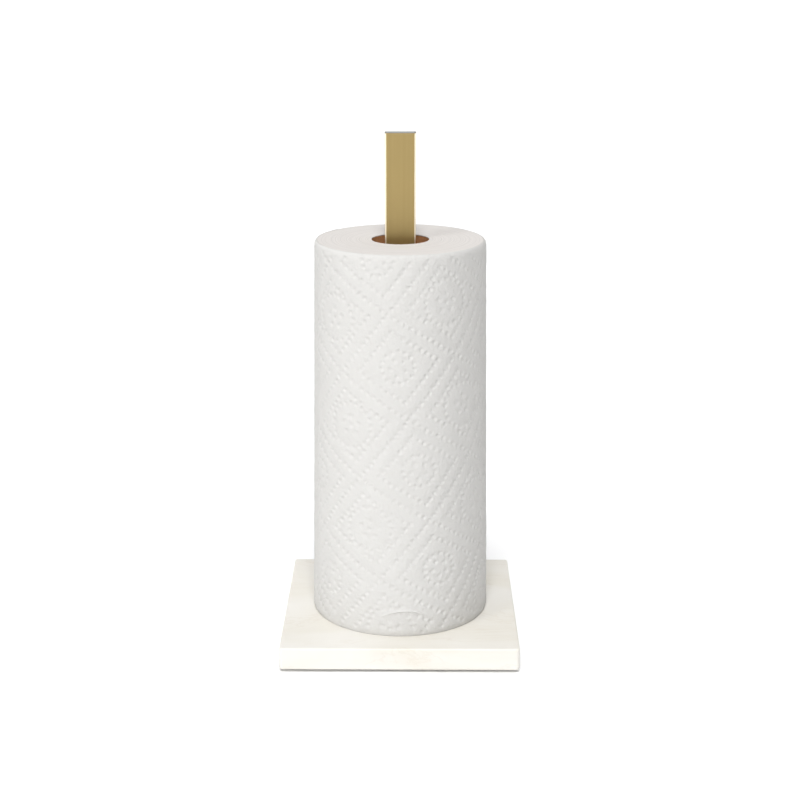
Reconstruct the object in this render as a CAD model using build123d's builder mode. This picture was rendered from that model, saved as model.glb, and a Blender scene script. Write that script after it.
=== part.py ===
from build123d import *
import math
import os

# Countertop paper towel holder: a marble slab on four rubber feet, an upright post of flat
# rectangular tube clamped to it by one screw from below, and the paper towel roll on the post.
# Millimetres. +Z is up, -Y is the front, and the origin is under the post, on the plane of the feet.

# ---- marble slab ----
base_side = 172.0
base_thickness = 16.5
base_corner_radius = 2.5
base_edge_radius = 1.3

# ---- self-adhesive feet ----
foot_diameter = 14.0
foot_height = 2.0
foot_edge_radius = 0.5
foot_inset = 18.0  # from the slab's side to the middle of a foot
tape_diameter = 12.5
tape_thickness = 0.2

# ---- post, a flat tube with a cap at the top and a threaded plug at the foot ----
post_width = 22.0
post_depth = 9.0
post_wall = 1.0
post_corner_radius = 1.6
post_rise = 355.5  # above the slab
post_top_break = 0.25
cap_thickness = 3.0
cap_clearance = 0.05
plug_length = 16.0
plug_clearance = 0.05

# ---- socket in the slab that keeps the post from turning ----
socket_depth = 2.0
socket_clearance = 0.15
gasket_thickness = 0.4
gasket_clearance = 0.1

# ---- clamping screw and its washers ----
screw_diameter = 5.0
screw_length = 25.0
screw_neck = 1.0
screw_tip_chamfer = 0.6
thread_pitch = 0.8
thread_depth = 0.45
thread_clearance = 0.05
head_diameter = 9.5
head_height = 2.75
head_rim = 0.5
head_face_diameter = 5.6
key_across_flats = 3.0
key_depth = 1.6
screw_hole_clearance = 0.25
lock_washer_diameter = 9.2
lock_washer_thickness = 1.2
lock_washer_gap = 1.4
washer_bore_clearance = 0.15
flat_washer_diameter = 18.0
flat_washer_thickness = 1.2
soft_washer_diameter = 20.0
soft_washer_thickness = 1.0
counterbore_clearance = 1.0
head_recess = 0.6  # how far the screw head stays inside the slab

# ---- paper towel roll ----
core_bore_diameter = 41.0
ply_thickness = 0.5
ply_clearance = 0.05
roll_height = 279.4
roll_bottom_diameter = 131.0
roll_top_diameter = 123.0
sheet_thickness = 0.5
tail_gap = 1.0  # the slit where the outer sheet's free edge meets the start of the same turn
tail_angle = 140.0  # where the free edge is, anticlockwise from +X seen from above
roll_rest_gap = 0.2

# ---- heights that follow from them ----
base_bottom = foot_height + tape_thickness
base_top = base_bottom + base_thickness
socket_floor = base_top - socket_depth
post_bottom = socket_floor + gasket_thickness
post_top = base_top + post_rise
plug_top = post_bottom + plug_length
washer_stack = soft_washer_thickness + flat_washer_thickness + lock_washer_thickness
counterbore_depth = head_recess + head_height + washer_stack
counterbore_top = base_bottom + counterbore_depth
soft_washer_bottom = counterbore_top - soft_washer_thickness
flat_washer_bottom = soft_washer_bottom - flat_washer_thickness
head_seat = flat_washer_bottom - lock_washer_thickness
head_bottom = head_seat - head_height
screw_tip = head_seat + screw_length
thread_start = head_seat + screw_neck
roll_bottom = base_top + roll_rest_gap
roll_top = roll_bottom + roll_height

# ---- radii and outlines that follow from them ----
screw_radius = screw_diameter / 2
screw_core_radius = screw_radius - thread_depth
screw_hole_radius = screw_radius + screw_hole_clearance
washer_bore_radius = screw_radius + washer_bore_clearance
counterbore_radius = soft_washer_diameter / 2 + counterbore_clearance
tube_bore_width = post_width - 2 * post_wall
tube_bore_depth = post_depth - 2 * post_wall
tube_bore_corner_radius = post_corner_radius - post_wall
inner_ply_radius = core_bore_diameter / 2
inner_ply_outer_radius = inner_ply_radius + ply_thickness
outer_ply_radius = inner_ply_outer_radius + ply_clearance
towel_bore_radius = outer_ply_radius + ply_thickness
towel_bottom_radius = roll_bottom_diameter / 2 - sheet_thickness
towel_top_radius = roll_top_diameter / 2 - sheet_thickness
foot_reach = base_side / 2 - foot_inset
foot_places = {
    "front_left": (-foot_reach, -foot_reach),
    "front_right": (foot_reach, -foot_reach),
    "back_left": (-foot_reach, foot_reach),
    "back_right": (foot_reach, foot_reach),
}

os.makedirs("parts", exist_ok=True)


def thread_teeth(low, high, clearance):
    """Points (radius, height) of a thread's crests and valleys between two heights, from the bottom up."""
    flank_height = thread_pitch / 2
    first = math.floor((low - thread_start) / flank_height + 0.01) + 1
    last = math.ceil((high - thread_start) / flank_height - 0.01) - 1
    points = []
    for number in range(first, last + 1):
        valley = number % 2 * thread_depth
        points.append((screw_radius + clearance - valley, thread_start + number * flank_height))
    return points


# ---- marble_base: the slab, with the post's socket on top and a stepped screw hole from below ----
with BuildPart() as marble_base:
    with BuildSketch(Plane.XY.offset(base_bottom)):
        RectangleRounded(base_side, base_side, base_corner_radius)
    extrude(amount=base_thickness)
    rims = marble_base.edges().group_by(Axis.Z)
    fillet(rims[0] + rims[-1], radius=base_edge_radius)
    with BuildSketch(Plane.XY.offset(socket_floor)):
        RectangleRounded(
            post_width + 2 * socket_clearance,
            post_depth + 2 * socket_clearance,
            post_corner_radius + socket_clearance,
        )
    extrude(amount=socket_depth, mode=Mode.SUBTRACT)
    with Locations(Location((0, 0, base_bottom), (180, 0, 0))):
        CounterBoreHole(screw_hole_radius, counterbore_radius, counterbore_depth)
marble_base.part.label = "marble_base"
export_step(marble_base.part, "parts/marble_base.step")

# ---- the four feet and the adhesive discs that hold them ----
for corner, (foot_x, foot_y) in foot_places.items():
    with BuildPart() as foot:
        with BuildSketch(Plane((foot_x, foot_y, 0))):
            Circle(foot_diameter / 2)
        extrude(amount=foot_height)
        fillet(foot.edges().sort_by(Axis.Z)[0], radius=foot_edge_radius)
    foot.part.label = f"foot_{corner}"
    export_step(foot.part, f"parts/foot_{corner}.step")

    with BuildPart() as foot_tape:
        with BuildSketch(Plane((foot_x, foot_y, foot_height))):
            Circle(tape_diameter / 2)
        extrude(amount=tape_thickness)
    foot_tape.part.label = f"foot_tape_{corner}"
    export_step(foot_tape.part, f"parts/foot_tape_{corner}.step")

# ---- post_tube: the upright, open at both ends ----
with BuildPart() as post_tube:
    with BuildSketch(Plane.XY.offset(post_bottom)):
        RectangleRounded(post_width, post_depth, post_corner_radius)
    extrude(amount=post_top - post_bottom)
    top_rim = post_tube.faces().sort_by(Axis.Z)[-1].outer_wire().edges()
    chamfer(top_rim, length=post_top_break)
    with BuildSketch(Plane.XY.offset(post_bottom)):
        RectangleRounded(tube_bore_width, tube_bore_depth, tube_bore_corner_radius)
    extrude(amount=post_top - post_bottom, mode=Mode.SUBTRACT)
post_tube.part.label = "post_tube"
export_step(post_tube.part, "parts/post_tube.step")

# ---- post_cap: the plate that closes the tube, flush with its top ----
with BuildPart() as post_cap:
    with BuildSketch(Plane.XY.offset(post_top - cap_thickness)):
        RectangleRounded(
            tube_bore_width - 2 * cap_clearance,
            tube_bore_depth - 2 * cap_clearance,
            tube_bore_corner_radius - cap_clearance,
        )
    extrude(amount=cap_thickness)
post_cap.part.label = "post_cap"
export_step(post_cap.part, "parts/post_cap.step")

# ---- post_plug: the threaded block in the tube's foot ----
with BuildPart() as post_plug:
    with BuildSketch(Plane.XY.offset(post_bottom)):
        RectangleRounded(
            tube_bore_width - 2 * plug_clearance,
            tube_bore_depth - 2 * plug_clearance,
            tube_bore_corner_radius - plug_clearance,
        )
    extrude(amount=plug_length)
    with BuildSketch(Plane.XZ):
        with BuildLine():
            Polyline(
                (0, post_bottom),
                (screw_radius + thread_clearance, post_bottom),
                *thread_teeth(post_bottom, plug_top, thread_clearance),
                (screw_radius + thread_clearance, plug_top),
                (0, plug_top),
                close=True,
            )
        make_face()
    revolve(axis=Axis.Z, mode=Mode.SUBTRACT)
post_plug.part.label = "post_plug"
export_step(post_plug.part, "parts/post_plug.step")

# ---- socket_gasket: the thin pad between the tube's foot and the marble ----
with BuildPart() as socket_gasket:
    with BuildSketch(Plane.XY.offset(socket_floor)):
        RectangleRounded(
            post_width - 2 * gasket_clearance,
            post_depth - 2 * gasket_clearance,
            post_corner_radius - gasket_clearance,
        )
        Circle(screw_hole_radius, mode=Mode.SUBTRACT)
    extrude(amount=gasket_thickness)
socket_gasket.part.label = "socket_gasket"
export_step(socket_gasket.part, "parts/socket_gasket.step")

# ---- clamp_screw: a button-head screw with a hexagon socket, head down ----
with BuildPart() as clamp_screw:
    with BuildSketch(Plane.XZ):
        with BuildLine():
            Polyline(
                (head_diameter / 2, head_seat - head_rim),
                (head_diameter / 2, head_seat),
                (screw_radius, head_seat),
                (screw_radius, thread_start),
                *thread_teeth(thread_start, screw_tip - screw_tip_chamfer, 0),
                (screw_core_radius, screw_tip - screw_tip_chamfer),
                (screw_core_radius - screw_tip_chamfer, screw_tip),
                (0, screw_tip),
                (0, head_bottom),
                (head_face_diameter / 2, head_bottom),
            )
            RadiusArc(
                (head_face_diameter / 2, head_bottom),
                (head_diameter / 2, head_seat - head_rim),
                -head_diameter / 2,
            )
        make_face()
    revolve(axis=Axis.Z)
    with BuildSketch(Plane.XY.offset(head_bottom)):
        RegularPolygon(key_across_flats / 2, 6, major_radius=False)
    extrude(amount=key_depth, mode=Mode.SUBTRACT)
clamp_screw.part.label = "clamp_screw"
export_step(clamp_screw.part, "parts/clamp_screw.step")

# ---- lock_washer: a split spring ring ----
with BuildPart() as lock_washer:
    with BuildSketch(Plane.XY.offset(head_seat)):
        Circle(lock_washer_diameter / 2)
        Circle(washer_bore_radius, mode=Mode.SUBTRACT)
        Rectangle(
            lock_washer_diameter,
            lock_washer_gap,
            align=(Align.MIN, Align.CENTER),
            mode=Mode.SUBTRACT,
        )
    extrude(amount=lock_washer_thickness)
lock_washer.part.label = "lock_washer"
export_step(lock_washer.part, "parts/lock_washer.step")

# ---- flat_washer: steel, spreads the clamp load ----
with BuildPart() as flat_washer:
    with BuildSketch(Plane.XY.offset(flat_washer_bottom)):
        Circle(flat_washer_diameter / 2)
        Circle(washer_bore_radius, mode=Mode.SUBTRACT)
    extrude(amount=flat_washer_thickness)
flat_washer.part.label = "flat_washer"
export_step(flat_washer.part, "parts/flat_washer.step")

# ---- soft_washer: fibre, keeps the steel off the marble ----
with BuildPart() as soft_washer:
    with BuildSketch(Plane.XY.offset(soft_washer_bottom)):
        Circle(soft_washer_diameter / 2)
        Circle(washer_bore_radius, mode=Mode.SUBTRACT)
    extrude(amount=soft_washer_thickness)
soft_washer.part.label = "soft_washer"
export_step(soft_washer.part, "parts/soft_washer.step")

# ---- core_inner_ply and core_outer_ply: the two layers of the cardboard core ----
with BuildPart() as core_inner_ply:
    with BuildSketch(Plane.XY.offset(roll_bottom)):
        Circle(inner_ply_outer_radius)
        Circle(inner_ply_radius, mode=Mode.SUBTRACT)
    extrude(amount=roll_height)
core_inner_ply.part.label = "core_inner_ply"
export_step(core_inner_ply.part, "parts/core_inner_ply.step")

with BuildPart() as core_outer_ply:
    with BuildSketch(Plane.XY.offset(roll_bottom)):
        Circle(towel_bore_radius)
        Circle(outer_ply_radius, mode=Mode.SUBTRACT)
    extrude(amount=roll_height)
core_outer_ply.part.label = "core_outer_ply"
export_step(core_outer_ply.part, "parts/core_outer_ply.step")

# ---- wound_towel: the wound paper, slightly wider at the bottom, where it stands ----
with BuildPart() as wound_towel:
    with BuildSketch(Plane.XZ):
        with BuildLine():
            Polyline(
                (towel_bore_radius, roll_bottom),
                (towel_bottom_radius, roll_bottom),
                (towel_top_radius, roll_top),
                (towel_bore_radius, roll_top),
                close=True,
            )
        make_face()
    revolve(axis=Axis.Z)
wound_towel.part.label = "wound_towel"
export_step(wound_towel.part, "parts/wound_towel.step")

# ---- outer_sheet: the last turn of paper, open at its free edge ----
tail_gap_angle = math.degrees(tail_gap / towel_bottom_radius)
with BuildPart() as outer_sheet:
    with BuildSketch(Plane.XZ.rotated((0, 0, tail_angle))):
        with BuildLine():
            Polyline(
                (towel_bottom_radius, roll_bottom),
                (towel_bottom_radius + sheet_thickness, roll_bottom),
                (towel_top_radius + sheet_thickness, roll_top),
                (towel_top_radius, roll_top),
                close=True,
            )
        make_face()
    revolve(axis=Axis.Z, revolution_arc=360 - tail_gap_angle)
outer_sheet.part.label = "outer_sheet"
export_step(outer_sheet.part, "parts/outer_sheet.step")
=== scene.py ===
import math
import random
import bpy
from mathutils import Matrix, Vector, geometry, noise


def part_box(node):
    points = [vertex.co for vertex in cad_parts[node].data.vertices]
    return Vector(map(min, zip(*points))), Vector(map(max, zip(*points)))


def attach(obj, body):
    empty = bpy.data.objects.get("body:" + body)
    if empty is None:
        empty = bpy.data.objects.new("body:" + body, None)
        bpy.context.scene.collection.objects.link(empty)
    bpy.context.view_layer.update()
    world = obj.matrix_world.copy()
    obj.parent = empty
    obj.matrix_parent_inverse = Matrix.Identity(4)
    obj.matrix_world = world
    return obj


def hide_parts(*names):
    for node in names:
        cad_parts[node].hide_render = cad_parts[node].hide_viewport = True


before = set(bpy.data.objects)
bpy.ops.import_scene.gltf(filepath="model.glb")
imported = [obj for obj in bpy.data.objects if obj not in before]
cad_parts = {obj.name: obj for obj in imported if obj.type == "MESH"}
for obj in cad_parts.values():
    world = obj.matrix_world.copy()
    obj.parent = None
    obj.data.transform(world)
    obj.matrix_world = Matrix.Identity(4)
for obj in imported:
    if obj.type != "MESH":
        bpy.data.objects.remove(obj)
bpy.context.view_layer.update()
mm = 0.001
print("frame loaded with", len(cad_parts), "nodes")


# camera, floor and lights

cameraSetup = {
    "place": (0.00884, -1.1660, 0.5202),
    "lookDown": 16.34,  # degrees
    "turnLeft": 0.448,
    "lens": 74.4,  # millimetres, on the sensor width below
    "sensorWidth": 36,
}

floorSetup = {
    "size": 40.0,
    "color": (0.95, 0.95, 0.95, 1),
    "roughness": 0.8,
}

lightSetup = {
    "sky": (0.325, 0.325, 0.33, 1),
    "backdrop": (1, 1, 1, 1),  # what the camera sees above the floor
    # name, strength, softness, height above the floor and turn to the left of the front, in degrees
    "suns": (
        ("side", 1.2, 20, 18, 48),
        ("overhead", 2.2, 18, 58, 0),
        ("back", 0.66, 60, 70, 180),
    ),
    # two pale cards beside the holder, left and right, seen only as reflections
    "cardStrengths": (1.15, 1.65),
    "cardSize": (0.5, 0.9),
    "cardAngles": (-78, 78),
    "cardDistance": 0.75,
}


def makeCamera(setup):
    cameraData = bpy.data.cameras.new("camera")
    cameraData.lens = setup["lens"]
    cameraData.sensor_width = setup["sensorWidth"]
    camera = bpy.data.objects.new("camera", cameraData)
    camera.location = setup["place"]
    tilt, turn = math.radians(90 - setup["lookDown"]), math.radians(setup["turnLeft"])
    camera.rotation_euler = (tilt, 0, turn)
    bpy.context.collection.objects.link(camera)
    bpy.context.scene.camera = camera


def makeFloor(setup):
    half = setup["size"] / 2
    mesh = bpy.data.meshes.new("floor")
    corners = [(-half, -half, 0), (half, -half, 0), (half, half, 0), (-half, half, 0)]
    mesh.from_pydata(corners, [], [(0, 1, 2, 3)])
    floor = bpy.data.objects.new("floor", mesh)
    bpy.context.collection.objects.link(floor)
    values = {"Roughness": setup["roughness"], "Base Color": setup["color"]}
    material, _, _ = newMaterial("floorPaint", values)
    mesh.materials.append(material)


def aroundObject(turn, distance, height):
    angle = math.radians(turn - 90)
    return Vector((distance * math.cos(angle), distance * math.sin(angle), height))


def makeLights(setup):
    world = bpy.data.worlds.new("studio")
    world.use_nodes = True
    bpy.context.scene.world = world
    tree = world.node_tree
    background = tree.nodes["Background"]
    background.inputs["Color"].default_value = setup["sky"]
    seen = tree.nodes.new("ShaderNodeBackground")
    seen.inputs["Color"].default_value = setup["backdrop"]
    path = tree.nodes.new("ShaderNodeLightPath")
    mix = tree.nodes.new("ShaderNodeMixShader")
    tree.links.new(path.outputs["Is Camera Ray"], mix.inputs[0])
    tree.links.new(background.outputs[0], mix.inputs[1])
    tree.links.new(seen.outputs[0], mix.inputs[2])
    tree.links.new(mix.outputs[0], tree.nodes["World Output"].inputs["Surface"])

    for name, strength, softness, height, turn in setup["suns"]:
        sun = bpy.data.lights.new(name, "SUN")
        sun.energy = strength
        sun.angle = math.radians(softness)
        sunObject = bpy.data.objects.new(name, sun)
        level = math.cos(math.radians(height))
        sunObject.location = aroundObject(-turn, level, math.sin(math.radians(height)))
        sunObject.rotation_euler = sunObject.location.to_track_quat("Z", "Y").to_euler()
        bpy.context.collection.objects.link(sunObject)

    for number, turn in enumerate(setup["cardAngles"]):
        card = bpy.data.lights.new(f"card{number}", "AREA")
        card.shape = "RECTANGLE"
        card.size, card.size_y = setup["cardSize"]
        card.energy = setup["cardStrengths"][number]
        cardObject = bpy.data.objects.new(card.name, card)
        cardObject.location = aroundObject(turn, setup["cardDistance"], setup["cardSize"][1] / 2)
        level = cardObject.location * Vector((1, 1, 0))
        cardObject.rotation_euler = level.to_track_quat("Z", "Y").to_euler()
        cardObject.visible_camera = False
        cardObject.visible_diffuse = False
        bpy.context.collection.objects.link(cardObject)
    bpy.context.scene.view_settings.view_transform = "Standard"


# small helpers for the materials


def newMaterial(name, values):
    material = bpy.data.materials.new(name)
    material.use_nodes = True
    shader = material.node_tree.nodes["Principled BSDF"]
    for socket, value in values.items():
        shader.inputs[socket].default_value = value
    return material, material.node_tree, shader


def addNode(tree, kind, inputs=None, **settings):
    node = tree.nodes.new(kind)
    for name, value in settings.items():
        setattr(node, name, value)
    for socket, value in (inputs or {}).items():
        if isinstance(value, bpy.types.NodeSocket):
            tree.links.new(value, node.inputs[socket])
        else:
            node.inputs[socket].default_value = value
    return node


def objectCoordinates(tree, scale=(1, 1, 1)):
    place = addNode(tree, "ShaderNodeTexCoord").outputs["Object"]
    return addNode(tree, "ShaderNodeMapping", {"Vector": place, "Scale": scale}).outputs["Vector"]


def sheetCoordinates(tree, scale):
    place = addNode(tree, "ShaderNodeUVMap", uv_map="paper").outputs["UV"]
    return addNode(tree, "ShaderNodeMapping", {"Vector": place, "Scale": scale}).outputs["Vector"]


def noiseValue(tree, vector, scale, detail=3.0, roughness=0.5, distortion=0.0):
    inputs = {"Vector": vector, "Scale": scale, "Detail": detail}
    inputs.update({"Roughness": roughness, "Distortion": distortion})
    return addNode(tree, "ShaderNodeTexNoise", inputs).outputs["Fac"]


def arithmetic(tree, operation, first, second=None):
    inputs = {0: first} if second is None else {0: first, 1: second}
    return addNode(tree, "ShaderNodeMath", inputs, operation=operation).outputs[0]


def shade(color, share):
    return tuple(share * part for part in color[:3]) + (1,)


def spread(tree, value, fromLow, fromHigh, toLow, toHigh):
    inputs = {0: value, 1: fromLow, 2: fromHigh, 3: toLow, 4: toHigh}
    return addNode(tree, "ShaderNodeMapRange", inputs).outputs[0]


def mixColors(tree, factor, first, second):
    inputs = {0: factor, 6: first, 7: second}
    return addNode(tree, "ShaderNodeMix", inputs, data_type="RGBA").outputs[2]


def bump(tree, shader, height, distance, strength=1.0, under=None):
    inputs = {"Height": height, "Distance": distance, "Strength": strength}
    if under is not None:
        inputs["Normal"] = under
    normal = addNode(tree, "ShaderNodeBump", inputs).outputs["Normal"]
    tree.links.new(normal, shader.inputs["Normal"])
    return normal


def paint(nodeName, material):
    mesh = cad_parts[nodeName].data
    mesh.materials.clear()
    mesh.materials.append(material)


# marble slab

marbleLook = {
    "light": (0.755, 0.736, 0.692, 1),
    "deep": (0.708, 0.680, 0.612, 1),
    "vein": (0.56, 0.49, 0.39, 1),
    "veinShare": 0.20,
    "cloudScale": 12.0,  # per metre
    "veinScale": 8.0,
    "veinWidth": 0.016,
    "roughness": 0.42,
    "polishDepth": 0.02 * mm,
}


def makeMarble(look):
    values = {"Roughness": look["roughness"], "Specular IOR Level": 0.35}
    material, tree, shader = newMaterial("polishedMarble", values)
    place = objectCoordinates(tree, (0.7, 1.7, 1.6))
    clouds = noiseValue(tree, place, look["cloudScale"], 6, 0.55, 0.6)
    cloudShare = spread(tree, clouds, 0.36, 0.66, 0, 1)
    ground = mixColors(tree, cloudShare, look["light"], look["deep"])
    bends = noiseValue(tree, place, look["veinScale"], 9, 0.62, 1.3)
    away = arithmetic(tree, "ABSOLUTE", arithmetic(tree, "SUBTRACT", bends, 0.5))
    line = spread(tree, away, 0.0, look["veinWidth"], 1, 0)
    patches = noiseValue(tree, place, 21, 2)
    patchShare = spread(tree, patches, 0.45, 0.62, 0, look["veinShare"])
    veinShare = arithmetic(tree, "MULTIPLY", line, patchShare)
    tree.links.new(mixColors(tree, veinShare, ground, look["vein"]), shader.inputs["Base Color"])
    polish = noiseValue(tree, place, 900, 3)
    roughness = spread(tree, polish, 0.3, 0.7, look["roughness"] - 0.04, look["roughness"] + 0.06)
    tree.links.new(roughness, shader.inputs["Roughness"])
    bump(tree, shader, noiseValue(tree, place, 420, 2), look["polishDepth"], 0.5)
    paint("marble_base", material)


# brass finished post, hardware and feet

brassLook = {
    "color": (0.420, 0.309, 0.122, 1),
    "pale": (0.437, 0.324, 0.130, 1),
    "cap": (0.60, 0.64, 0.62, 1),
    "paintedRimShade": (0.24, 0.20, 0.14, 1),  # painted shade on the tube's sawn top end, darkened so that its chamfer shows no highlight
    "edge": (0.86, 0.78, 0.61, 1),  # painted highlight: a pale strip on the long corners, standing in for their reflections
    "highlightInset": 1.0 * mm,
    "highlightBlur": 0.08 * mm,
    "rimDepth": 0.28 * mm,  # how far the painted shade on the sawn end reaches down the tube
    "rimBlur": 0.04 * mm,
    "roughness": 0.43,
    "lineScale": 2600.0,  # brush lines per metre across the bar
    "lineLength": 0.012,  # a line's width as a share of its length
    "lineDepth": 0.006 * mm,
    "capLineDepth": 0.012 * mm,
}

hardwareLook = {
    "steel": (0.60, 0.60, 0.61, 1),
    "steelDepth": 0.01 * mm,
    # colors are the grain's two; grain is its scale per metre, detail and roughness
    "dull": {
        "redFibre": {
            "colors": ((0.21, 0.0525, 0.0315, 1), (0.30, 0.075, 0.045, 1)),
            "grain": (1500, 4, 0.6),
            "roughness": (0.6, 0.8),
            "gloss": 0.3,
            "depth": 0.03 * mm,
            "strength": 0.6,
        },
        "footRubber": {
            "colors": ((0.035, 0.035, 0.036, 1), (0.0595, 0.0595, 0.0612, 1)),
            "grain": (2400, 3, 0.6),
            "roughness": (0.55, 0.75),
            "gloss": 0.35,
            "depth": 0.04 * mm,
            "strength": 0.6,
        },
        "foamPad": {
            "colors": ((0.612, 0.612, 0.5865, 1), (0.72, 0.72, 0.69, 1)),
            "grain": (3000, 2, 0.7),
            "roughness": (0.75, 0.95),
            "gloss": 0.25,
            "depth": 0.05 * mm,
            "strength": 0.7,
        },
    },
}


def cornerShare(tree, box, inset, blur):
    # 1 on the bar's four long corners and 0 on its faces
    place = addNode(tree, "ShaderNodeTexCoord").outputs["Object"]
    parts = addNode(tree, "ShaderNodeSeparateXYZ", {0: place}).outputs
    shares = []
    for axis in (0, 1):
        middle = (box[0][axis] + box[1][axis]) / 2
        half = (box[1][axis] - box[0][axis]) / 2
        away = arithmetic(tree, "ABSOLUTE", arithmetic(tree, "SUBTRACT", parts[axis], middle))
        shares.append(spread(tree, away, half - inset - blur, half - inset + blur, 0, 1))
    return arithmetic(tree, "MULTIPLY", shares[0], shares[1])


def makeBrass(look):
    values = {"Metallic": 0.82, "Coat Weight": 0.3, "Coat Roughness": 0.2}
    material, tree, shader = newMaterial("brushedBrass", values)
    lines = objectCoordinates(tree, (1, 1, look["lineLength"]))
    fine = noiseValue(tree, lines, look["lineScale"], 2, 0.6)
    broad = noiseValue(tree, lines, look["lineScale"] / 7, 3, 0.6)
    share = spread(tree, broad, 0.3, 0.7, 0, 1)
    face = mixColors(tree, share, look["color"], look["pale"])
    # the long corners get a painted highlight, a pale strip mixed over the brushed face
    corner = cornerShare(tree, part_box("post_tube"), look["highlightInset"], look["highlightBlur"])
    facesWithHighlight = mixColors(tree, corner, face, look["edge"])
    height = addNode(tree, "ShaderNodeSeparateXYZ", {0: objectCoordinates(tree)}).outputs[2]
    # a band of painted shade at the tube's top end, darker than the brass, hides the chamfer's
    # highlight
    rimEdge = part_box("post_tube")[1].z - look["rimDepth"]
    paintedRimShade = spread(tree, height, rimEdge - look["rimBlur"], rimEdge + look["rimBlur"], 0, 1)
    tree.links.new(mixColors(tree, paintedRimShade, facesWithHighlight, look["paintedRimShade"]), shader.inputs["Base Color"])
    roughness = spread(tree, fine, 0.3, 0.7, look["roughness"] - 0.03, look["roughness"] + 0.04)
    tree.links.new(roughness, shader.inputs["Roughness"])
    bump(tree, shader, fine, look["lineDepth"], 0.5)
    paint("post_tube", material)

    capMaterial, tree, shader = newMaterial("brushedCap", values)
    lines = objectCoordinates(tree, (look["lineLength"], 1, 1))
    fine = noiseValue(tree, lines, look["lineScale"], 2, 0.6)
    color = mixColors(tree, fine, shade(look["cap"], 0.93), look["cap"])
    tree.links.new(color, shader.inputs["Base Color"])
    roughness = spread(tree, fine, 0.3, 0.7, look["roughness"] - 0.05, look["roughness"] + 0.06)
    tree.links.new(roughness, shader.inputs["Roughness"])
    bump(tree, shader, fine, look["capLineDepth"], 0.6)
    paint("post_cap", capMaterial)


def makeHardware(look):
    steel, tree, shader = newMaterial("platedSteel", {"Metallic": 1.0})
    place = objectCoordinates(tree)
    cloud = noiseValue(tree, place, 300, 4)
    color = mixColors(tree, cloud, shade(look["steel"], 0.8), look["steel"])
    tree.links.new(color, shader.inputs["Base Color"])
    tree.links.new(spread(tree, cloud, 0.3, 0.7, 0.24, 0.42), shader.inputs["Roughness"])
    bump(tree, shader, noiseValue(tree, place, 4000, 2), look["steelDepth"], 0.5)
    for name in ("post_plug", "clamp_screw", "lock_washer", "flat_washer"):
        paint(name, steel)

    # the dull materials differ only in their numbers
    made = {}
    for name, values in look["dull"].items():
        material, tree, shader = newMaterial(name, {"Specular IOR Level": values["gloss"]})
        grain = noiseValue(tree, objectCoordinates(tree), *values["grain"])
        color = mixColors(tree, grain, *values["colors"])
        tree.links.new(color, shader.inputs["Base Color"])
        tree.links.new(spread(tree, grain, 0.3, 0.7, *values["roughness"]), shader.inputs["Roughness"])
        bump(tree, shader, grain, values["depth"], values["strength"])
        made[name] = material
    paint("soft_washer", made["redFibre"])
    paint("socket_gasket", made["foamPad"])
    for corner in ("front_left", "front_right", "back_left", "back_right"):
        paint(f"foot_{corner}", made["footRubber"])
        paint(f"foot_tape_{corner}", made["foamPad"])


# paper and board of the towel roll

paperLook = {
    "color": (0.605, 0.598, 0.58, 1),
    "shadow": (0.585, 0.577, 0.558, 1),
    "ends": (0.672, 0.645, 0.621, 1),
    "pucker": 2.2 * mm,  # soft unevenness between the dots
    "puckerDepth": 0.55 * mm,
    "winding": 0.9 * mm,  # between the layers seen on the roll's ends
    "windingDepth": 0.12 * mm,
    "windingDrift": 1.2 * mm,  # how far the layers stray from true circles
    "fuzzDepth": 0.06 * mm,
    "crepePitch": 0.55 * mm,  # the fine wrinkles that run up the roll
    "crepeLength": 2.4 * mm,
    "crepeDepth": 0.15 * mm,
}

boardLook = {
    "color": (0.60, 0.30, 0.138, 1),
    "fibre": (0.43, 0.205, 0.092, 1),
    "fibreDepth": 0.06 * mm,
}


def makePaper(look):
    values = {"Roughness": 0.95, "Specular IOR Level": 0.2}
    material, tree, shader = newMaterial("embossedPaper", values)
    wrinkles = sheetCoordinates(tree, (1 / look["crepePitch"], 1 / look["crepeLength"], 1))
    crepe = noiseValue(tree, wrinkles, 1.0, 3, 0.6, 0.4)
    puckerPlace = sheetCoordinates(tree, (1 / look["pucker"], 0.75 / look["pucker"], 1))
    pucker = noiseValue(tree, puckerPlace, 1.0, 2, 0.55, 0.3)
    clouds = noiseValue(tree, sheetCoordinates(tree, (1, 1, 1)), 60, 3)
    color = mixColors(tree, clouds, look["shadow"], look["color"])
    tree.links.new(color, shader.inputs["Base Color"])
    under = bump(tree, shader, pucker, look["puckerDepth"], 0.9)
    bump(tree, shader, crepe, look["crepeDepth"], 0.8, under)

    endMaterial, tree, shader = newMaterial("paperEdges", values)
    place = objectCoordinates(tree)
    clouds = noiseValue(tree, place, 45, 4)
    parts = addNode(tree, "ShaderNodeSeparateXYZ", {0: place}).outputs
    level = addNode(tree, "ShaderNodeCombineXYZ", {0: parts[0], 1: parts[1]}).outputs[0]
    length = addNode(tree, "ShaderNodeVectorMath", {0: level}, operation="LENGTH")
    drift = arithmetic(tree, "MULTIPLY", clouds, look["windingDrift"])
    layer = arithmetic(tree, "ADD", length.outputs["Value"], drift)
    inputs = {"W": layer, "Scale": 1 / look["winding"], "Detail": 2}
    rings = addNode(tree, "ShaderNodeTexNoise", inputs, noise_dimensions="1D").outputs["Fac"]
    share = spread(tree, rings, 0.28, 0.62, 0, 1)
    color = mixColors(tree, share, shade(look["ends"], 0.87), look["ends"])
    tree.links.new(color, shader.inputs["Base Color"])
    under = bump(tree, shader, rings, look["windingDepth"], 0.7)
    bump(tree, shader, noiseValue(tree, place, 1800, 3), look["fuzzDepth"], 0.5, under)
    return material, endMaterial


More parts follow.
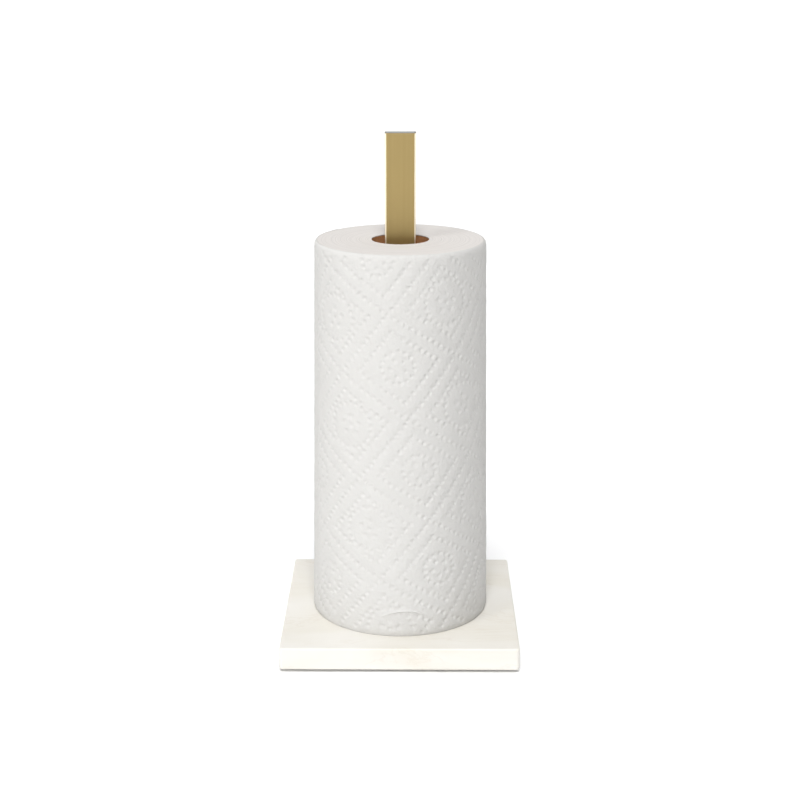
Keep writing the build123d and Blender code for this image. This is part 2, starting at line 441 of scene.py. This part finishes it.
def makeBoard(look):
    values = {"Roughness": 0.85, "Specular IOR Level": 0.2}
    material, tree, shader = newMaterial("coreBoard", values)
    place = objectCoordinates(tree)
    fibres = noiseValue(tree, objectCoordinates(tree, (1, 1, 0.35)), 1200, 4, 0.65)
    clouds = noiseValue(tree, place, 130, 4)
    share = spread(tree, arithmetic(tree, "MULTIPLY", fibres, clouds), 0.12, 0.40, 0, 1)
    color = mixColors(tree, share, look["fibre"], look["color"])
    tree.links.new(color, shader.inputs["Base Color"])
    bump(tree, shader, fibres, look["fibreDepth"], 0.6)
    return material


# the roll's outline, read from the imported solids


def ringRadius(nodeName, height, tolerance=0.2 * mm):
    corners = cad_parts[nodeName].data.vertices
    return max(v.co.xy.length for v in corners if abs(v.co.z - height) < tolerance)


rollBottom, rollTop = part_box("outer_sheet")[0].z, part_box("outer_sheet")[1].z
rollHeight = rollTop - rollBottom
bottomRadius = ringRadius("outer_sheet", rollBottom)
topRadius = ringRadius("outer_sheet", rollTop)
middleRadius = (bottomRadius + topRadius) / 2

sheetSetup = {
    "tailAngle": 140.0,  # degrees round from +X, where the free edge lies
    "overlap": 14 * mm,  # how far the turn runs on under its own free edge
    "layer": 0.5 * mm,  # what one turn adds to the radius
    "thickness": 0.3 * mm,
    "hiddenRoom": 0.8 * mm,  # the hidden inside lies this much deeper, clear of the dots
    "edgeStep": 1.1 * mm,
    "tailLift": 0.9 * mm,
    "tailLiftLength": 11 * mm,
    "shoulderInset": 1.4 * mm,
    "shoulderHeight": 3.2 * mm,
    "footShare": 0.6,  # the lower shoulder's inset as a share of the upper one's
    "perforation": 279.4 * mm,  # length of one towel
    "perforationPitch": 1.9 * mm,
    "perforationDepth": 0.3 * mm,
    "perforationClear": 2.4 * mm,
    "tear": 0.5 * mm,  # how far the torn edges' teeth reach
    "undulation": 0.16 * mm,
    "undulationSize": 26 * mm,
}
turnLength = 2 * math.pi * middleRadius
sheetLength = turnLength + sheetSetup["overlap"]

embossSetup = {
    # degrees round from the front, and height above the roll's foot
    "firstRosette": (-1.0, 200.8 * mm),
    "across": (50.9 * mm, -30.9 * mm),  # to the next rosette down to the right
    "along": (-35.8 * mm, -44.4 * mm),  # and down to the left
    "steps": 12,  # dots from one rosette to the next
    "diamond": 4,  # steps from a rosette to the diamond round it
    "dotRadius": 1.95 * mm,
    "bigDotRadius": 2.3 * mm,
    "dotDepth": 0.55 * mm,
    "patchSize": 38 * mm,  # the rollers press some patches less than others
    "smallRings": ((5, 6.0 * mm, 48), (15, 11.5 * mm, 88)),  # dots, radius, turn of the first dot
    "largeRings": ((1, 0.0, 0), (5, 6.2 * mm, 18), (21, 16.2 * mm, 90)),
    # a dot's rings from its middle out: share of the radius, points, share of the depth, turn
    "dotProfile": ((0.0, 1, -1.0, 0), (0.42, 6, -0.82, 0), (0.78, 9, -0.25, 0.5), (1.04, 11, 0.1, 0)),
    "gap": 3.3 * mm,  # the least distance between two dots' middles
    "edgeClear": 2.7 * mm,
    "pillow": 0.16 * mm,  # how far the paper between the dots swells
    "pillowReach": 3.2 * mm,
    "pillowSpacing": 2.9 * mm,
    "pillowClear": 0.75 * mm,
}
dotCell = 5 * mm  # the dots are kept in square cells, to find the nearest quickly

welt = {  # the curved ridge near the roll's foot
    "middle": (3.4, -11.3 * mm),  # degrees from the front, and height of the arc's own middle
    "radius": 31 * mm,
    "halfWidth": 0.62,  # radians of arc, each way
    "height": 0.6 * mm,
    "reach": 0.8 * mm,
    "clear": 1.9 * mm,
}


def acrossFromFront(degrees):
    return ((degrees + 270 - sheetSetup["tailAngle"]) % 360) / 360 * turnLength


def embossDots(setup):
    random.seed(7)
    originS = acrossFromFront(setup["firstRosette"][0])
    originZ = setup["firstRosette"][1]
    ax, az = setup["across"]
    bx, bz = setup["along"]
    steps = setup["steps"]
    margin, gap = setup["edgeClear"], setup["gap"]
    taken = {}
    dots = []

    def place(s, z, radius):
        if not (margin < z < rollHeight - margin and margin < s < sheetLength - margin):
            return
        if abs(s - sheetSetup["perforation"]) < sheetSetup["perforationClear"]:
            return
        if weltDistance(s, z) < welt["clear"]:
            return
        cell = (int(s // gap), int(z // gap))
        for i in (-1, 0, 1):
            for j in (-1, 0, 1):
                for other in taken.get((cell[0] + i, cell[1] + j), ()):
                    if math.hypot(other[0] - s, other[1] - z) < gap:
                        return
        taken.setdefault(cell, []).append((s, z))
        radius *= random.uniform(0.93, 1.06)
        patch = noise.noise(Vector((s / setup["patchSize"], z / setup["patchSize"], 5.0)))
        pressed = 0.9 + 0.35 * patch + random.uniform(-0.15, 0.15)
        dots.append((s, z, radius, setup["dotDepth"] * pressed))

    def placeOnLine(s, z, p, q):
        share = (p * ax + q * bx) / steps, (p * az + q * bz) / steps
        place(s + share[0], z + share[1], setup["dotRadius"])

    span = range(-9, 10)  # more rosettes each way than the sheet can hold
    for i in span:
        for j in span:
            s, z = originS + i * ax + j * bx, originZ + i * az + j * bz
            small = (i + j) % 2 == 0
            for count, ring, phase in setup["smallRings" if small else "largeRings"]:
                radius = setup["dotRadius"] if small or count != 5 else setup["bigDotRadius"]
                for k in range(count):
                    angle = math.radians(phase + 360 * k / count)
                    place(s + ring * math.cos(angle), z + ring * math.sin(angle), radius)
            edge = setup["diamond"]
            for k in range(-edge, edge + 1):
                for p, q in ((k, -edge), (k, edge), (-edge, k), (edge, k)):
                    placeOnLine(s, z, p, q)
            for k in range(steps):
                for p, q in ((k, steps / 2), (steps / 2, k)):
                    placeOnLine(s, z, p, q)
    return dots


def weltDistance(s, z):
    # how far a place on the sheet is from the ridge's line, and a whole metre past its ends
    ds = s - acrossFromFront(welt["middle"][0])
    dz = z - welt["middle"][1]
    if abs(math.atan2(ds, dz)) > welt["halfWidth"] * 1.1:
        return 1.0
    return abs(math.hypot(ds, dz) - welt["radius"])


def weltHeight(s, z):
    ds = s - acrossFromFront(welt["middle"][0])
    dz = z - welt["middle"][1]
    end = min(1, abs(math.atan2(ds, dz)) / welt["halfWidth"])
    across = min(1, weltDistance(s, z) / welt["reach"])
    return welt["height"] * (1 - end ** 2) * (1 - across ** 2) ** 2


def rollPoint(s, z, lift):
    # a place on the roll's side, from the distance round it and the height above its foot
    angle = math.radians(sheetSetup["tailAngle"]) + 2 * math.pi * s / turnLength
    radius = bottomRadius + (topRadius - bottomRadius) * z / rollHeight
    radius -= sheetSetup["layer"] * s / turnLength
    for edge, share in ((rollHeight - z, 1), (z, sheetSetup["footShare"])):
        near = max(0, 1 - edge / sheetSetup["shoulderHeight"])
        radius -= sheetSetup["shoulderInset"] * near ** 2 * share
    radius += lift
    return Vector((radius * math.cos(angle), radius * math.sin(angle), rollBottom + z))


def softWave(s, z):
    angle = 2 * math.pi * s / turnLength
    size = sheetSetup["undulationSize"]
    around = Vector((math.cos(angle), math.sin(angle), 0)) * middleRadius
    place = Vector((around.x / size, around.y / size, z / size))
    return sheetSetup["undulation"] * noise.noise(place)


def tailLift(s, z):
    near = max(0, 1 - s / sheetSetup["tailLiftLength"])
    wave = 0.65 + 0.45 * noise.noise(Vector((0.3, 7.1, z / (45 * mm))))
    return sheetSetup["tailLift"] * near ** 2 * wave


def tornPlace(s, z):
    # the sheet's two ends are torn along their perforation, so their edges are finely toothed
    ragged = noise.noise(Vector((0.7, s / (90 * mm), z / (2.2 * mm))))
    tooth = sheetSetup["tear"] * abs(ragged)
    if s < 0.01 * mm:
        s += tooth
    elif s > sheetLength - 0.01 * mm:
        s -= tooth
    return s, z


def makeOuterSheet(material):
    dots = embossDots(embossSetup)
    points = []  # (s, z, height)
    half = sheetSetup["perforationPitch"] / 2

    # the four edges, shared by the outside and the inside
    countS = round(sheetLength / sheetSetup["edgeStep"])
    countZ = round(rollHeight / sheetSetup["edgeStep"])
    for k in range(countS):
        points.append((sheetLength * k / countS, 0.0))
    for k in range(countZ):
        points.append((sheetLength, rollHeight * k / countZ))
    for k in range(countS):
        points.append((sheetLength * (1 - k / countS), rollHeight))
    for k in range(countZ):
        points.append((0.0, rollHeight * (1 - k / countZ)))
    edgeCount = len(points)
    heights = [0.0] * edgeCount

    # rings of points in each dot
    grid = {}
    for s, z, radius, depth in dots:
        grid.setdefault((int(s // dotCell), int(z // dotCell)), []).append((s, z, radius))
        for share, count, rise, turn in embossSetup["dotProfile"]:
            for k in range(count):
                angle = 2 * math.pi * (k + turn) / count
                reach = share * radius
                points.append((s + reach * math.cos(angle), z + reach * math.sin(angle)))
                heights.append(depth * rise)

    # the ridge near the foot, and the torn line between two towels
    for k in range(61):
        angle = welt["halfWidth"] * (k / 30 - 1)
        for offset in (-1.0, -0.5, 0.0, 0.5, 1.0):
            reach = welt["radius"] + offset * welt["reach"]
            s = acrossFromFront(welt["middle"][0]) + reach * math.sin(angle)
            z = welt["middle"][1] + reach * math.cos(angle)
            if z > 1 * mm:
                points.append((s, z))
                heights.append(weltHeight(s, z))
    groove = ((-1.4 * mm, 0.0), (-0.5 * mm, 0.45), (0.0, 1.0), (0.5 * mm, 0.45), (1.4 * mm, 0.0))
    for k in range(2, int(rollHeight / half) - 2):
        z = k * half
        deep = sheetSetup["perforationDepth"] * (1.0 if k % 2 else 0.35)
        for offset, share in groove:
            points.append((sheetSetup["perforation"] + offset, z))
            heights.append(-deep * share)

    # the paper between, swelling a little away from the dots
    spacing = embossSetup["pillowSpacing"]
    row = 0
    z = spacing
    while z < rollHeight - 0.5 * spacing:
        s = spacing * (1 if row % 2 else 0.5)
        while s < sheetLength - 0.5 * spacing:
            ps, pz = s + random.uniform(-0.3, 0.3) * mm, z + random.uniform(-0.3, 0.3) * mm
            nearest = nearestDot(grid, ps, pz)
            clear = weltDistance(ps, pz) > 1.6 * welt["reach"]
            clear = clear and abs(ps - sheetSetup["perforation"]) > 2.0 * mm
            if nearest > embossSetup["pillowClear"] and clear:
                points.append((ps, pz))
                share = min(1, nearest / embossSetup["pillowReach"])
                heights.append(embossSetup["pillow"] * share * share * (3 - 2 * share))
            s += spacing
        row += 1
        z += spacing * 0.87

    flat = [Vector(p) for p in points]
    flatPoints, _, faces, sources, _, _ = geometry.delaunay_2d_cdt(flat, [], [], 0, 1e-7, True)
    order = [source[0] for source in sources]
    vertices = []
    places = []
    for flatPoint, source in zip(flatPoints, order):
        s, z = tornPlace(*flatPoint)
        lift = heights[source] + softWave(s, z) + tailLift(s, z)
        vertices.append(rollPoint(s, z, lift))
        places.append((s, z))
    outsideFaces = [tuple(face) for face in faces]
    print("outer sheet:", len(dots), "dots,", len(vertices), "points")

    # the hidden inside: the same edges, and a few points between
    spot = {source: index for index, source in enumerate(order)}
    insidePoints = [points[k] for k in range(edgeCount)]
    for i in range(1, 40):
        for j in range(1, 26):
            insidePoints.append((sheetLength * i / 40, rollHeight * j / 26))
    _, _, insideFaces, insideSources, _, _ = geometry.delaunay_2d_cdt(
        [Vector(p) for p in insidePoints], [], [], 0, 1e-7, True
    )
    start = len(vertices)
    for source in insideSources:
        s, z = tornPlace(*insidePoints[source[0]])
        lift = softWave(s, z) + tailLift(s, z) - sheetSetup["thickness"]
        deeper = 0.0 if source[0] < edgeCount else sheetSetup["hiddenRoom"]
        vertices.append(rollPoint(s, z, lift - deeper))
        places.append((s, z))
    insideSpot = {source[0]: start + index for index, source in enumerate(insideSources)}
    allFaces = outsideFaces + [tuple(start + v for v in reversed(face)) for face in insideFaces]
    for k in range(edgeCount):
        after = (k + 1) % edgeCount
        allFaces.append((spot[k], insideSpot[k], insideSpot[after], spot[after]))

    mesh = bpy.data.meshes.new("towelOuterSheet")
    mesh.from_pydata(vertices, [], allFaces)
    layer = mesh.uv_layers.new(name="paper")
    for loop in mesh.loops:
        layer.data[loop.index].uv = places[loop.vertex_index]
    mesh.materials.append(material)
    mesh.shade_smooth()
    mesh.set_sharp_from_angle(angle=math.radians(55))
    sheet = bpy.data.objects.new("towelOuterSheet", mesh)
    bpy.context.collection.objects.link(sheet)
    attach(sheet, "roll")
    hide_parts("outer_sheet")
    return sheet


def nearestDot(grid, s, z):
    # how far a place is from the rim of the nearest dot
    cell = (int(s // dotCell), int(z // dotCell))
    best = 1.0
    for i in (-1, 0, 1):
        for j in (-1, 0, 1):
            for dotS, dotZ, radius in grid.get((cell[0] + i, cell[1] + j), ()):
                best = min(best, math.hypot(dotS - s, dotZ - z) - radius)
    return best


# wound towel and its board core

woundSetup = {
    "segments": 192,
    "layerPitch": 0.95 * mm,
    "ridge": 0.09 * mm,
    "unevenness": 0.10 * mm,
    "boreRadius": 21.6 * mm,
    "lipRadius": 20.7 * mm,  # the paper closes over the board's ends
    "lipHeight": 0.5 * mm,
    "sheetRoom": 0.42 * mm,  # between the roll's outside and the wound body, at its two ends
    "sideRoom": 1.15 * mm,  # the same between the ends, where the dots reach inwards
    "sideInset": 1.5 * mm,
    "spiralReach": 8 * mm,  # only this much of the outside follows the sheet
}

coreSetup = {
    "segments": 72,
    "rows": 70,
    "recess": 0.9 * mm,  # how far the core stops short of the paper's ends
    "seamTurns": 1.55,
    "seamWidth": 0.9 * mm,
    "seamDepth": 0.16 * mm,
    "fray": 0.12 * mm,
}


def latheMesh(name, rings):
    # a closed tube of rings, each a list of points, where the last ring joins the first
    count = len(rings[0])
    vertices = [point for ring in rings for point in ring]
    faces = []
    for r in range(len(rings)):
        after = (r + 1) % len(rings)
        for k in range(count):
            turn = (k + 1) % count
            faces.append((r * count + k, r * count + turn, after * count + turn, after * count + k))
    mesh = bpy.data.meshes.new(name)
    mesh.from_pydata(vertices, [], faces)
    mesh.shade_smooth()
    return mesh


def makeWoundTowel(setup, material):
    random.seed(11)
    profile = []  # (radius, height, kind)
    for atTop in (False, True):
        share = 1 if atTop else sheetSetup["footShare"]
        outer = (topRadius if atTop else bottomRadius) - sheetSetup["shoulderInset"] * share
        outer -= setup["sheetRoom"]
        inner = setup["lipRadius"]
        layers = round((outer - inner) / setup["layerPitch"])
        face = []
        for k in range(2 * layers + 1):
            radius = inner + (outer - inner) * k / (2 * layers)
            ridge = -setup["ridge"] * (k % 2) - random.uniform(0, 0.5) * setup["ridge"]
            face.append((radius, ridge if atTop else -ridge, atTop))
        if atTop:
            face.reverse()
            low, high = setup["sideInset"], rollHeight - setup["sideInset"]
            for z in [low] + [rollHeight * k / 8 for k in range(1, 8)] + [high]:
                radius = bottomRadius + (topRadius - bottomRadius) * z / rollHeight
                profile.append((radius - setup["sideRoom"], z, None))
        profile += face
    lip = setup["lipHeight"]
    profile.append((setup["lipRadius"], rollHeight - lip, None))
    for k in range(7):
        height = rollHeight - lip - (rollHeight - 2 * lip) * k / 6
        profile.append((setup["boreRadius"], height, None))
    profile.append((setup["lipRadius"], lip, None))

    rings = []
    for radius, height, atTop in profile:
        ring = []
        for k in range(setup["segments"]):
            angle = 2 * math.pi * k / setup["segments"]
            turned = (angle - math.radians(sheetSetup["tailAngle"])) / (2 * math.pi) % 1
            near = max(0, 1 - (topRadius - radius) / setup["spiralReach"])
            spiral = radius - sheetSetup["layer"] * turned * min(1, near * 1.3)
            x, y = spiral * math.cos(angle), spiral * math.sin(angle)
            z = rollBottom + height
            if atTop is not None:
                spot = Vector((x / (14 * mm), y / (14 * mm), 3.0 if atTop else 9.0))
                uneven = noise.noise(spot)
                z += (rollHeight if atTop else 0) + setup["unevenness"] * uneven
            ring.append((x, y, z))
        rings.append(ring)
    mesh = latheMesh("woundTowel", rings)
    mesh.materials.append(material)
    mesh.set_sharp_from_angle(angle=math.radians(50))
    wound = bpy.data.objects.new("woundTowel", mesh)
    bpy.context.collection.objects.link(wound)
    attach(wound, "roll")
    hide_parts("wound_towel")
    return wound


def makePly(setup, nodeName, name, body, material, seamPhase):
    low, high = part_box(nodeName)
    outer = ringRadius(nodeName, low.z)
    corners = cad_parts[nodeName].data.vertices
    inner = min(v.co.xy.length for v in corners)
    bottom, top = low.z + setup["recess"], high.z - setup["recess"]
    seam = setup["seamWidth"] / inner
    angles = [-seam, -seam / 2, 0, seam / 2, seam]
    free = 2 * math.pi - 2 * seam
    angles += [seam + free * k / setup["segments"] for k in range(1, setup["segments"])]
    dips = {-seam / 2: 0.5, 0: 1.0, seam / 2: 0.7}
    rings = []
    rows = setup["rows"]
    for side in ("inside", "outside"):
        for r in range(rows + 1):
            share = r / rows if side == "inside" else 1 - r / rows
            z = bottom + (top - bottom) * share
            shear = seamPhase + 2 * math.pi * setup["seamTurns"] * share
            ring = []
            for angle in angles:
                radius = outer if side == "outside" else inner
                radius += setup["seamDepth"] * dips.get(angle, 0) * (1 if side == "inside" else -1)
                frayed = noise.noise(Vector((angle * 9, seamPhase, 4.0)))
                fray = setup["fray"] * frayed if r in (0, rows) else 0
                turned = angle + shear
                ring.append((radius * math.cos(turned), radius * math.sin(turned), z + fray))
            rings.append(ring)
    mesh = latheMesh(name, rings)
    mesh.flip_normals()
    mesh.materials.append(material)
    mesh.set_sharp_from_angle(angle=math.radians(50))
    ply = bpy.data.objects.new(name, mesh)
    bpy.context.collection.objects.link(ply)
    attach(ply, body)
    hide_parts(nodeName)


makeCamera(cameraSetup)
makeFloor(floorSetup)
makeLights(lightSetup)
print("camera, floor and lights are in place")

makeMarble(marbleLook)
makeBrass(brassLook)
makeHardware(hardwareLook)
print("slab, post and hardware have their finishes")

paper, paperEnds = makePaper(paperLook)
board = makeBoard(boardLook)
makeWoundTowel(woundSetup, paperEnds)
makeOuterSheet(paper)
makePly(coreSetup, "core_inner_ply", "coreInnerPly", "core", board, 0.4)
makePly(coreSetup, "core_outer_ply", "coreOuterPly", "roll", board, 2.1)
print("towel roll and core are made")
